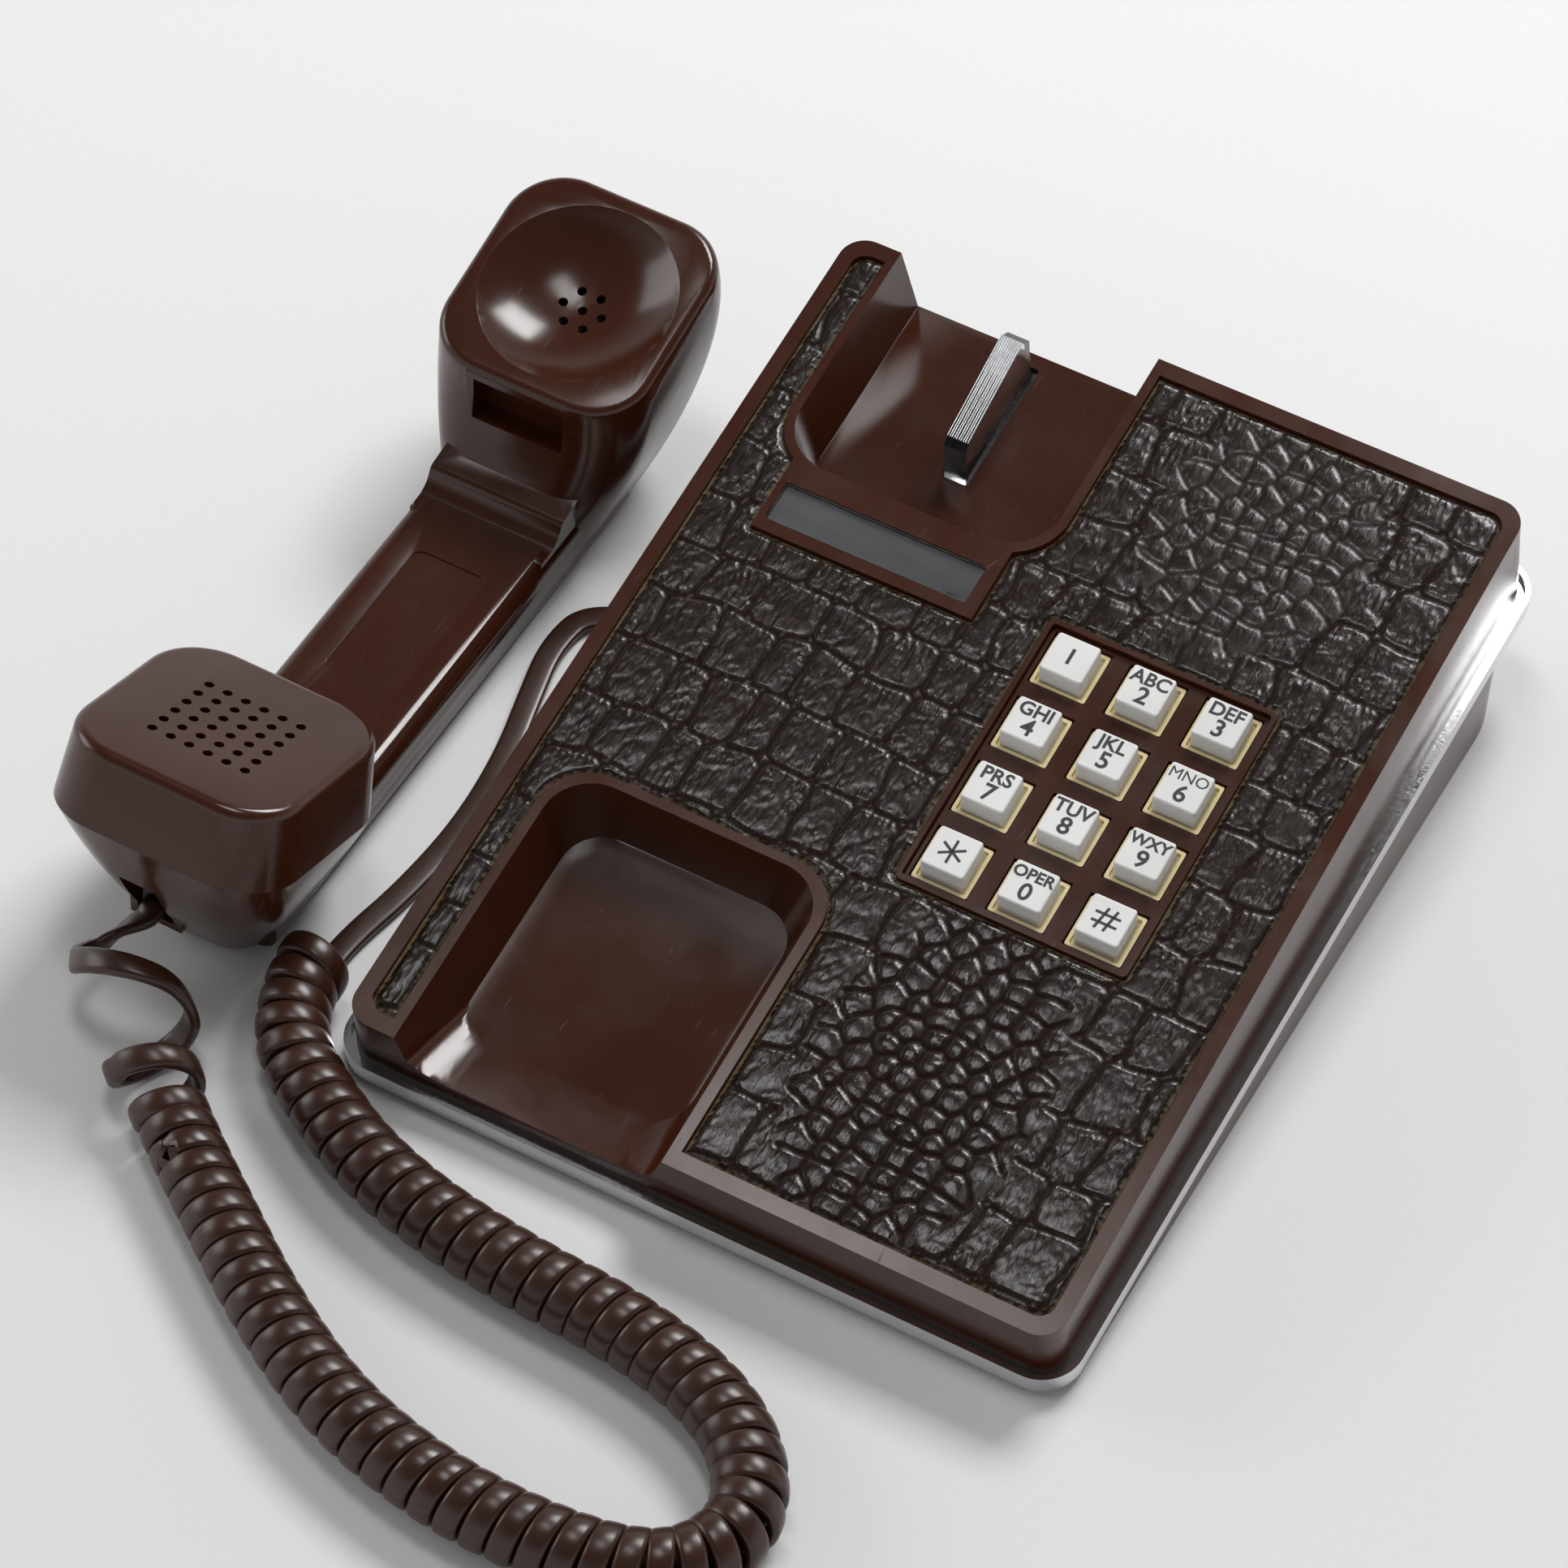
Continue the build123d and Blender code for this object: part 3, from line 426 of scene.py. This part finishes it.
def build_leather():
    rng = np.random.default_rng(7)
    step = 0.5
    gx = np.arange(3.85, WIDTH - 3.85 + step / 2, step)
    gy = np.arange(4.45, LENGTH - 4.25 + step / 2, step)
    px, py = [a.astype(np.float32) for a in np.meshgrid(gx, gy)]
    depth = inlay_depth(px, py)
    wx = px + 0.9 * wave(px, py, rng, 6, 0.15, 0.5)
    wy = py + 1.0 * wave(px, py, rng, 6, 0.08, 0.35)
    bricks = brick_gap(wx, wy, rng)
    ovals, middle = oval_gap(px, py, gx, gy, rng)
    field = np.zeros_like(px)
    deep = np.zeros_like(px)
    for n, (cx, cy, rx, ry) in enumerate(SMALL_FIELDS):
        inside = np.clip((1.08 - np.hypot((px - cx) / rx, (py - cy) / ry)) / 0.06, 0, 1)
        field = np.maximum(field, inside)
        if n:
            deep = inside
    fine = wave(px, py, rng, 14, 1.6, 3.6, 0.0)
    slow = wave(px, py, rng, 12, 0.4, 1.3)
    patch = np.clip(0.5 + 0.5 * wave(px, py, rng, 8, 0.2, 0.6), 0, 1)
    beads = 0.5 + 0.5 * np.sin(wx * 2.9 + slow) * np.sin(wy * 2.9)
    crease = np.clip(1 - np.abs(bricks) / 0.8, 0, 1)
    seam = np.clip(1 - np.abs(bricks) / 0.35, 0, 1)
    near_seam = np.clip(1 - bricks / 4.5, 0, 1)
    # sharp-bottomed wrinkles run along the phone and gather at the ends of each scale
    wrinkle = -np.clip(0.55 - np.abs(fine), 0, 0.55) * (0.2 + 0.6 * near_seam * patch + 0.3 * patch)
    pillow = 0.16 * (1 - near_seam ** 2)
    big = 0.74 + pillow - 0.66 * crease + 0.22 * seam * beads + wrinkle * (1 - crease) + 0.03 * slow
    pit = np.clip(1 - ovals / 0.62, 0, 1)
    round_top = (1 - middle ** 2).clip(0, 1)
    little = 0.70 - 0.40 * pit + 0.14 * round_top + 0.3 * wrinkle
    bold = 0.56 - 0.52 * pit + 0.50 * round_top + 0.5 * wrinkle
    small = little * (1 - deep) + bold * deep
    height = np.clip(big * (1 - field) + small * field, 0, 1.1)
    ragged = 0.35 + 0.35 * wave(px, py, rng, 8, 1.5, 4.0)
    edge = np.clip((ragged + 0.45 - depth) / 0.4, 0, 1)
    lift = 0.8 * height * np.clip(depth / 1.6, 0.3, 1) - 0.3 * edge
    inside = depth > -0.02
    index = -np.ones(px.shape, int)
    index[inside] = np.arange(inside.sum())
    base = -1.10
    verts = [on_panel(x, y, base + z) for x, y, z in zip(px[inside], py[inside], lift[inside])]
    a, b, c, d = index[:-1, :-1], index[:-1, 1:], index[1:, 1:], index[1:, :-1]
    whole = (a >= 0) & (b >= 0) & (c >= 0) & (d >= 0)
    faces = np.stack([a[whole], b[whole], c[whole], d[whole]], 1).tolist()
    print("leather faces", len(faces))
    obj = new_object("leather_inlay", verts, faces, LEATHER)
    for label, values in (("emboss", height[inside]), ("cut_edge", edge[inside])):
        layer = obj.data.attributes.new(label, "FLOAT", "POINT")
        layer.data.foreach_set("value", values.astype(np.float32))
    obj.data.polygons.foreach_set("use_smooth", [True] * len(obj.data.polygons))
    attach(obj, "base")
    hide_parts("leather_panel")


build_leather()


# ---- key legends -------------------------------------------------------------------------------
KEY_PITCH = 19.05
KEY_CENTRE = (120.0, 124.4)
KEY_TOP = 3.1
KEYS = [
    ("1", "", "1"), ("2", "ABC", "2"), ("3", "DEF", "3"),
    ("4", "GHI", "4"), ("5", "JKL", "5"), ("6", "MNO", "6"),
    ("7", "PRS", "7"), ("8", "TUV", "8"), ("9", "WXY", "9"),
    ("star", "", "*"), ("0", "OPER", "0"), ("hash", "", "#"),
]


def lettering(name, text, x, y, size, body, weight=0.12):
    """Printed characters lying on a key, as thin raised ink."""
    curve = bpy.data.curves.new(name, "FONT")
    curve.body = text
    curve.size = size * MM
    curve.align_x = "CENTER"
    curve.align_y = "CENTER"
    curve.extrude = 0.02 * MM
    curve.offset = weight * MM
    curve.resolution_u = 4
    flat = bpy.data.objects.new(name + "_curve", curve)
    bpy.context.scene.collection.objects.link(flat)
    depsgraph = bpy.context.evaluated_depsgraph_get()
    mesh = bpy.data.meshes.new_from_object(flat.evaluated_get(depsgraph))
    bpy.data.objects.remove(flat)
    mesh.transform(PANEL @ Matrix.Translation(Vector((x, y, KEY_TOP + 0.02)) * MM))
    obj = bpy.data.objects.new(name, mesh)
    bpy.context.scene.collection.objects.link(obj)
    paint_object(obj, INK)
    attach(obj, body)


STROKE = 0.68
INK_RISE = 0.04


def strokes(name, x, y, bars, body):
    """A sign made of straight printed bars: each is its middle, its length and its angle."""
    verts, faces = [], []
    for bx, by, length, angle in bars:
        c, n = math.cos(math.radians(angle)), math.sin(math.radians(angle))
        for u, v in ((-1, -1), (1, -1), (1, 1), (-1, 1)):
            along, across = u * length / 2, v * STROKE / 2
            right = x + bx + along * c - across * n
            ahead = y + by + along * n + across * c
            verts.append(on_panel(right, ahead, KEY_TOP + INK_RISE))
        faces.append(tuple(range(len(verts) - 4, len(verts))))
    obj = new_object(name, verts, faces, INK)
    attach(obj, body)


STAR = [(0, 0, 6.4, 30), (0, 0, 6.4, 90), (0, 0, 6.4, 150)]
HASH = [(-1.1, 0, 6.0, 80), (1.1, 0, 6.0, 80), (0, 1.15, 6.2, 0), (0, -1.15, 6.2, 0)]
for i, (key, letters, figure) in enumerate(KEYS):
    kx = KEY_CENTRE[0] + (i % 3 - 1) * KEY_PITCH
    ky = KEY_CENTRE[1] + (1.5 - i // 3) * KEY_PITCH
    body = "key_" + key
    if figure in "*#":
        strokes("figure_" + key, kx, ky, STAR if figure == "*" else HASH, body)
    elif letters:
        wide = letters in ("MNO", "WXY", "OPER")
        # the wide M would fold over itself if its outline were thickened
        weight = 0.0 if "M" in letters else 0.12
        lettering("letters_" + key, letters, kx, ky + 2.6, 4.1 if wide else 4.9, body, weight)
        lettering("figure_" + key, figure, kx, ky - 2.0, 6.2, body)
    else:
        lettering("figure_" + key, figure, kx, ky, 6.0, body)


# ---- cord --------------------------------------------------------------------------------------
# The route's control points repeat the route of the CAD tubes, in metres.
ROUTE = [
    (-0.1424, -0.1065, 0.0140), (-0.1426, -0.118, 0.0100), (-0.135, -0.131, 0.0085),
    (-0.1245, -0.1395, 0.0085), (-0.107, -0.1545, 0.0085), (-0.088, -0.1685, 0.0085),
    (-0.066, -0.1845, 0.0085), (-0.041, -0.1985, 0.0085), (-0.014, -0.2055, 0.0085),
    (0.009, -0.2065, 0.0085), (0.030, -0.204, 0.0085), (0.0435, -0.1975, 0.0085),
    (0.050, -0.182, 0.0085), (0.0425, -0.1665, 0.0085), (0.027, -0.156, 0.0085),
    (0.003, -0.1505, 0.0085), (-0.022, -0.1495, 0.0085), (-0.047, -0.1465, 0.0085),
    (-0.068, -0.1405, 0.0085), (-0.084, -0.132, 0.0085), (-0.098, -0.1225, 0.0085),
    (-0.1045, -0.109, 0.0085), (-0.1055, -0.097, 0.0085), (-0.105, -0.085, 0.0065),
    (-0.1015, -0.068, 0.0036), (-0.0995, -0.045, 0.0032), (-0.1015, -0.022, 0.0032),
    (-0.106, -0.003, 0.0032), (-0.1095, 0.013, 0.0045), (-0.107, 0.027, 0.0075),
    (-0.0955, 0.030, 0.0086),
]
CORD_WIDTH, CORD_THICK = 0.0060, 0.0029
TURN_R = 0.0070
PITCH = 0.00615


def route_points():
    """Even samples of the route's smooth line, as an array of points and of lengths along it."""
    curve = bpy.data.curves.new("route", "CURVE")
    curve.dimensions = "3D"
    curve.resolution_u = 24
    spline = curve.splines.new("NURBS")
    spline.points.add(len(ROUTE) - 1)
    for point, place in zip(spline.points, ROUTE):
        point.co = (*place, 1)
    spline.order_u = 3
    spline.use_endpoint_u = True
    obj = bpy.data.objects.new("route", curve)
    bpy.context.scene.collection.objects.link(obj)
    depsgraph = bpy.context.evaluated_depsgraph_get()
    mesh = bpy.data.meshes.new_from_object(obj.evaluated_get(depsgraph))
    line = np.array([v.co[:] for v in mesh.vertices])
    bpy.data.objects.remove(obj)
    along = np.r_[0, np.cumsum(np.linalg.norm(np.diff(line, axis=0), axis=1))]
    return line, along


def smooth_step(value):
    value = np.clip(value, 0, 1)
    return value * value * (3 - 2 * value)


def build_cord():
    line, along = route_points()
    total = along[-1]
    end_at = along[np.argmin(np.linalg.norm(line - np.array(ROUTE[22]), axis=1))]
    # turns loosen towards the handset, and the last one opens by the base
    s_axis = np.linspace(0, total, 6000)
    loose = (0.018, 0.038, 0.045, 0.0515, 0.057)
    marks = [0, loose[0]] + list(loose[1:])
    phase_at = [0, 0, math.pi, 2 * math.pi, 3 * math.pi, 4 * math.pi]
    regular = end_at - loose[-1] - 0.012
    turns = round(regular / PITCH)
    marks += [loose[-1] + regular, end_at - 0.001]
    last = 4 * math.pi + turns * math.tau
    phase_at += [last, last + 1.75 * math.tau]
    marks += [total]
    phase_at += [phase_at[-1]]
    phase = np.interp(s_axis, marks, phase_at)
    kernel = np.hanning(41)
    kernel /= kernel.sum()
    phase = np.convolve(np.pad(phase, 20, mode="edge"), kernel, "valid")
    phase = phase[:len(s_axis)]
    radius = np.interp(s_axis, [0, 0.004, 0.018, 0.038, 0.046, 0.052, 0.060, end_at - 0.012, end_at - 0.004],
                       [0, 0.0005, 0.0115, 0.0115, 0.0092, 0.0082, TURN_R, TURN_R, TURN_R * 1.08])
    fine = [np.interp(s_axis, along, line[:, k]) for k in range(3)]
    axis = np.stack(fine, 1)
    radius = np.minimum(radius, np.where(s_axis > end_at - 0.002, np.maximum(axis[:, 2] - 0.0016, 0), 1.0))
    lift = np.where(s_axis < 0.07, np.maximum(radius + CORD_THICK / 2 + 0.0002 - axis[:, 2], 0), 0)
    lift *= smooth_step(s_axis / 0.016)
    axis[:, 2] += lift
    tangent = np.gradient(axis, axis=0)
    tangent /= np.linalg.norm(tangent, axis=1)[:, None]
    up = np.array([0, 0, 1.0])
    side = np.cross(tangent, up)
    side /= np.linalg.norm(side, axis=1)[:, None]
    rise = np.cross(side, tangent)
    amount = 40 * (turns + 6) + 400
    # more samples where the phase runs
    weight = np.hypot(np.gradient(phase) * radius, np.gradient(s_axis))
    pace = np.r_[0, np.cumsum(weight)[1:]]
    picks = np.interp(np.linspace(0, pace[-1], amount), pace, np.arange(len(pace)))

    def at(values):
        base = np.arange(len(values))
        if values.ndim == 1:
            return np.interp(picks, base, values)
        return np.stack([np.interp(picks, base, values[:, k]) for k in range(3)], 1)

    ph, rd, s_at = at(phase), at(radius), at(s_axis)
    ax, sd, rs = at(axis), at(side), at(rise)
    radial = np.cos(ph)[:, None] * sd + np.sin(ph)[:, None] * rs
    centre = ax + rd[:, None] * radial
    run = np.gradient(centre, axis=0)
    run /= np.linalg.norm(run, axis=1)[:, None]
    # the flat side turns level where the cord enters each plug
    near_start = smooth_step(1 - s_at / 0.015)[:, None]
    near_end = smooth_step(1 - (total - s_at) / 0.03)[:, None]
    facing = radial * (1 - near_start) + up * near_start
    facing = facing * (1 - near_end) - up * near_end
    facing -= (facing * run).sum(1)[:, None] * run
    facing /= np.linalg.norm(facing, axis=1)[:, None]
    across = np.cross(run, facing)
    ring = []
    count = 16
    for k in range(count):
        a = math.tau * k / count
        c, s = math.cos(a), math.sin(a)
        x = math.copysign(abs(c) ** 0.55, c) * CORD_WIDTH / 2
        bulge = 0.5 if s > 0 else 0.42
        power = 0.75 if s > 0 else 0.35
        ring.append((x, math.copysign(abs(s) ** power, s) * CORD_THICK * bulge))
    verts = []
    for x, y in ring:
        verts.append(centre + across * x + facing * y)
    verts = np.stack(verts, 1).reshape(-1, 3)
    verts[:, 2] = np.maximum(verts[:, 2], 0.0002)   # the cord rests on the desk
    faces = []
    for i in range(amount - 1):
        for k in range(count):
            n = (k + 1) % count
            faces.append((i * count + k, i * count + n, (i + 1) * count + n, (i + 1) * count + k))
    faces.append(tuple(reversed(range(count))))
    faces.append(tuple(range((amount - 1) * count, amount * count)))
    obj = new_object("curly_cord", verts, faces, CORD)
    work = bmesh.new()
    work.from_mesh(obj.data)
    bmesh.ops.recalc_face_normals(work, faces=work.faces)
    work.to_mesh(obj.data)
    work.free()
    obj.data.polygons.foreach_set("use_smooth", [True] * len(obj.data.polygons))
    length = float(np.linalg.norm(np.diff(centre, axis=0), axis=1).sum())
    print("cord length", round(length, 3), "turns", turns, "lowest", verts[:, 2].min())
    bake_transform(obj)
    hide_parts("cord_handset_lead", "cord_coil", "cord_base_lead")


build_cord()


# ---- stage, camera and light -------------------------------------------------------------------
def build_stage():
    size = 6.0
    floor = new_object("floor", [(-size, -size, 0), (size, -size, 0), (size, size, 0), (-size, size, 0)],
                       [(0, 1, 2, 3)], BROWN)
    paint = Paint("paper_floor", (0.83, 0.83, 0.83), 0.85)
    paint.color_from(paint.ramp(paint.noise(400, 2), (0.825, 0.825, 0.825), (0.835, 0.835, 0.835)))
    paint_object(floor, paint.mat)


def build_camera():
    data = bpy.data.cameras.new("camera")
    data.sensor_width = 36.0
    data.lens = 139.2
    camera = bpy.data.objects.new("camera", data)
    bpy.context.scene.collection.objects.link(camera)
    place = Vector((0.35194, -0.79879, 1.07897))
    aim = Vector((-0.0428, 0.0049, 0.0))
    turn = (aim - place).to_track_quat("-Z", "Y") @ Quaternion((0, 0, 1), math.radians(3.14))
    camera.location = place
    camera.rotation_euler = turn.to_euler()
    bpy.context.scene.camera = camera


def area_light(name, place, aim, size, power, tint=(1, 1, 1)):
    data = bpy.data.lights.new(name, "AREA")
    data.shape = "RECTANGLE"
    data.size, data.size_y = size
    data.energy = power
    data.color = tint
    light = bpy.data.objects.new(name, data)
    light.location = place
    light.rotation_euler = (Vector(aim) - Vector(place)).to_track_quat("-Z", "Y").to_euler()
    bpy.context.scene.collection.objects.link(light)


def build_light():
    world = bpy.data.worlds.new("studio")
    bpy.context.scene.world = world
    world.use_nodes = True
    tree = world.node_tree
    where = tree.nodes.new("ShaderNodeTexCoord")
    split = tree.nodes.new("ShaderNodeSeparateXYZ")
    ramp = tree.nodes.new("ShaderNodeValToRGB")
    ramp.color_ramp.elements[0].position = 0.15
    ramp.color_ramp.elements[0].color = (0.85, 0.85, 0.85, 1)
    ramp.color_ramp.elements[1].position = 0.65
    ramp.color_ramp.elements[1].color = (0.13, 0.13, 0.13, 1)
    tree.links.new(where.outputs["Generated"], split.inputs[0])
    tree.links.new(split.outputs["Z"], ramp.inputs["Fac"])
    tree.links.new(ramp.outputs["Color"], tree.nodes["Background"].inputs["Color"])
    area_light("rear_softbox", (0.05, 1.25, 1.5), (0, 0, 0), (0.8, 0.6), 25)
    area_light("overhead_softbox", (-0.25, 0.08, 1.6), (0, -0.05, 0), (0.32, 0.62), 4.5)
    area_light("left_fill", (-2.2, -0.3, 0.9), (0, 0, 0), (1.2, 1.0), 10)
    bpy.context.scene.view_settings.view_transform = "Standard"


build_stage()
build_camera()
build_light()
